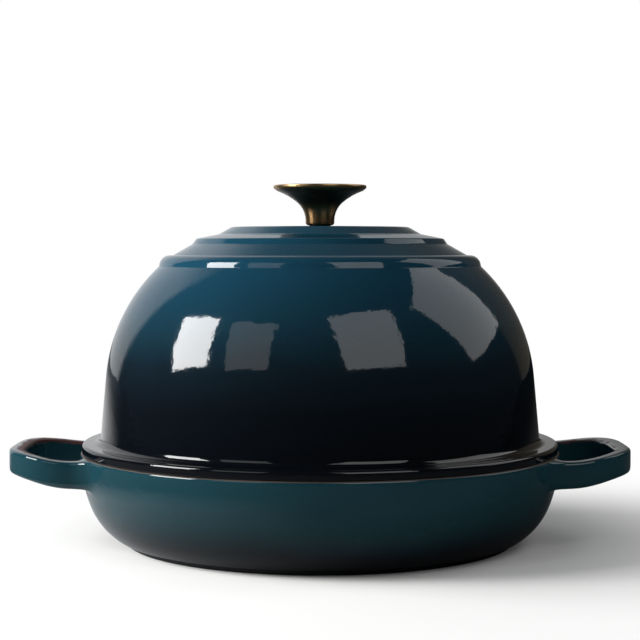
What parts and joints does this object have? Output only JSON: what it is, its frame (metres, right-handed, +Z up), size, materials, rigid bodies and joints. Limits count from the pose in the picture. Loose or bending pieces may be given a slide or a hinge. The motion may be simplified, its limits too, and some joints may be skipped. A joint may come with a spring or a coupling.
{
  "type": "bread cloche",
  "caption": "Enamelled cast-iron bread cloche: shallow round base with loop handles under a tall lift-off dome lid with a stepped top and a trumpet-shaped metal knob, for baking a round loaf.",
  "frame": {"origin": "on the table, under the middle of the base", "axes": "+X through the right handle, +Z up through the knob, -Y towards the viewer"},
  "size_m": [0.3244, 0.2523, 0.1874],
  "materials": {
    "base_enamel": "glossy vitreous enamel, teal at the rim, black towards the foot; matt black inside",
    "lid_enamel": "glossy vitreous enamel, teal blue on top, black towards the flange; matt black inside",
    "knob_metal": "satin, dark antique patina",
    "gasket": "matt",
    "steel": "plain"
  },
  "bodies": {
    "base": {"base": "base_enamel"},
    "lid": {"lid": "lid_enamel", "knob": "knob_metal", "knob_gasket": "gasket", "flat_washer": "steel", "spring_washer": "steel", "knob_screw": "steel"}
  },
  "joints": [
    {"name": "lid_lift", "type": "slide", "parent": "base", "child": "lid", "axis": [0, 0, 1], "range_m": [0, 0.064]}
  ]
}
